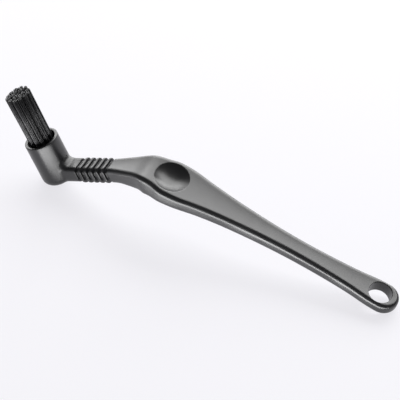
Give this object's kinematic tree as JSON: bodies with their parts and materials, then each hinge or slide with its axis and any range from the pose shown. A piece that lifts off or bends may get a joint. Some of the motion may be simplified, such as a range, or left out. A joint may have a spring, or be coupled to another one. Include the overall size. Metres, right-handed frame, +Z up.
{
  "type": "coffee machine cleaning brush",
  "caption": "Angled cleaning brush: round nylon bristle bundle in a socket, elbow, ribbed neck, dished thumb rest and long tapering handle with a hanging hole.",
  "frame": {"origin": "middle of the bounding box's bottom, on the surface that the brush's elbow and tail rest on", "axes": "+Z up; +X along the brush, from the bristles to the hanging hole; +Y across it, the side that lies away from the picture's camera"},
  "size_m": [0.2424, 0.0266, 0.0615],
  "materials": {
    "handle_plastic": "moulded black plastic, satin gloss",
    "bristle_nylon": "black nylon filament, dull sheen",
    "anchor_metal": "plain rolled strip"
  },
  "bodies": {
    "root": {"handle": "handle_plastic", "bristle_tuft_01": "bristle_nylon", "bristle_tuft_02": "bristle_nylon", "bristle_tuft_03": "bristle_nylon", "bristle_tuft_04": "bristle_nylon", "bristle_tuft_05": "bristle_nylon", "bristle_tuft_06": "bristle_nylon", "bristle_tuft_07": "bristle_nylon", "bristle_tuft_08": "bristle_nylon", "bristle_tuft_09": "bristle_nylon", "bristle_tuft_10": "bristle_nylon", "bristle_tuft_11": "bristle_nylon", "bristle_tuft_12": "bristle_nylon", "bristle_tuft_13": "bristle_nylon", "bristle_tuft_14": "bristle_nylon", "bristle_tuft_15": "bristle_nylon", "bristle_tuft_16": "bristle_nylon", "bristle_tuft_17": "bristle_nylon", "bristle_tuft_18": "bristle_nylon", "bristle_tuft_19": "bristle_nylon", "tuft_anchor_01": "anchor_metal", "tuft_anchor_02": "anchor_metal", "tuft_anchor_03": "anchor_metal", "tuft_anchor_04": "anchor_metal", "tuft_anchor_05": "anchor_metal", "tuft_anchor_06": "anchor_metal", "tuft_anchor_07": "anchor_metal", "tuft_anchor_08": "anchor_metal", "tuft_anchor_09": "anchor_metal", "tuft_anchor_10": "anchor_metal", "tuft_anchor_11": "anchor_metal", "tuft_anchor_12": "anchor_metal", "tuft_anchor_13": "anchor_metal", "tuft_anchor_14": "anchor_metal", "tuft_anchor_15": "anchor_metal", "tuft_anchor_16": "anchor_metal", "tuft_anchor_17": "anchor_metal", "tuft_anchor_18": "anchor_metal", "tuft_anchor_19": "anchor_metal"}
  },
  "joints": []
}
